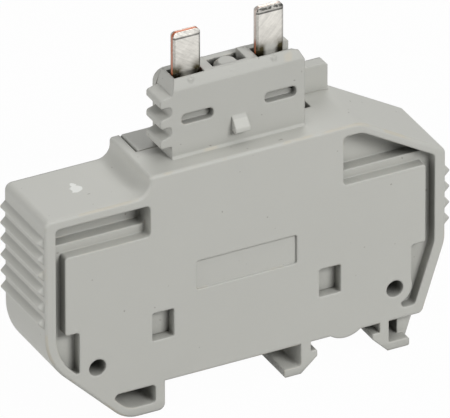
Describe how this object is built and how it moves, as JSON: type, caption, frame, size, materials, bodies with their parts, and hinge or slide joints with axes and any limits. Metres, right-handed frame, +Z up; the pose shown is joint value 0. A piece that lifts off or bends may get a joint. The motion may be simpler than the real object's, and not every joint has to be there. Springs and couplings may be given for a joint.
{
  "type": "plug-in fuse terminal block",
  "caption": "Flat plug-in fuse carrier for a terminal block: moulded case with pull loop and marker groove, two blade contacts, and a glass cartridge fuse behind a pull-off rear cover.",
  "frame": {"origin": "centre of the footprint on the plane of the three feet", "axes": "+X along the case towards its sloping end, +Y from the label face to the rear cover, +Z up towards the blade tips"},
  "size_m": [0.0414, 0.008, 0.0371],
  "materials": {
    "housing_polyamide": "moulded light grey polyamide, fine matte texture",
    "cover_polyamide": "moulded light grey polyamide, fine matte texture",
    "tinned_copper": "tin plated copper strip, scuffed, bare copper on the cut edges",
    "clip_bronze": "rolled spring bronze",
    "rivet_brass": "headed brass",
    "fuse_glass": "clear drawn glass",
    "fuse_cap_nickel": "nickel plated drawn cap",
    "solder": "dull solder",
    "fuse_wire": "bare drawn wire"
  },
  "bodies": {
    "case": {"housing": "housing_polyamide", "left_blade_contact": "tinned_copper", "right_blade_contact": "tinned_copper", "left_fuse_clip": "clip_bronze", "right_fuse_clip": "clip_bronze", "left_clip_rivet": "rivet_brass", "right_clip_rivet": "rivet_brass"},
    "cover": {"rear_cover": "cover_polyamide"},
    "fuse": {"fuse_glass_tube": "fuse_glass", "fuse_left_cap": "fuse_cap_nickel", "fuse_right_cap": "fuse_cap_nickel", "fuse_left_solder": "solder", "fuse_right_solder": "solder", "fuse_wire": "fuse_wire"}
  },
  "joints": [
    {"name": "cover_pull", "type": "slide", "parent": "case", "child": "cover", "axis": [0, 1, 0], "range_m": [0, 0.024]},
    {"name": "fuse_pull", "type": "slide", "parent": "case", "child": "fuse", "axis": [0, 1, 0], "range_m": [0, 0.012]}
  ],
  "couplings": [
    {"joint": "fuse_pull", "follows": "cover_pull", "ratio": 0.5}
  ]
}
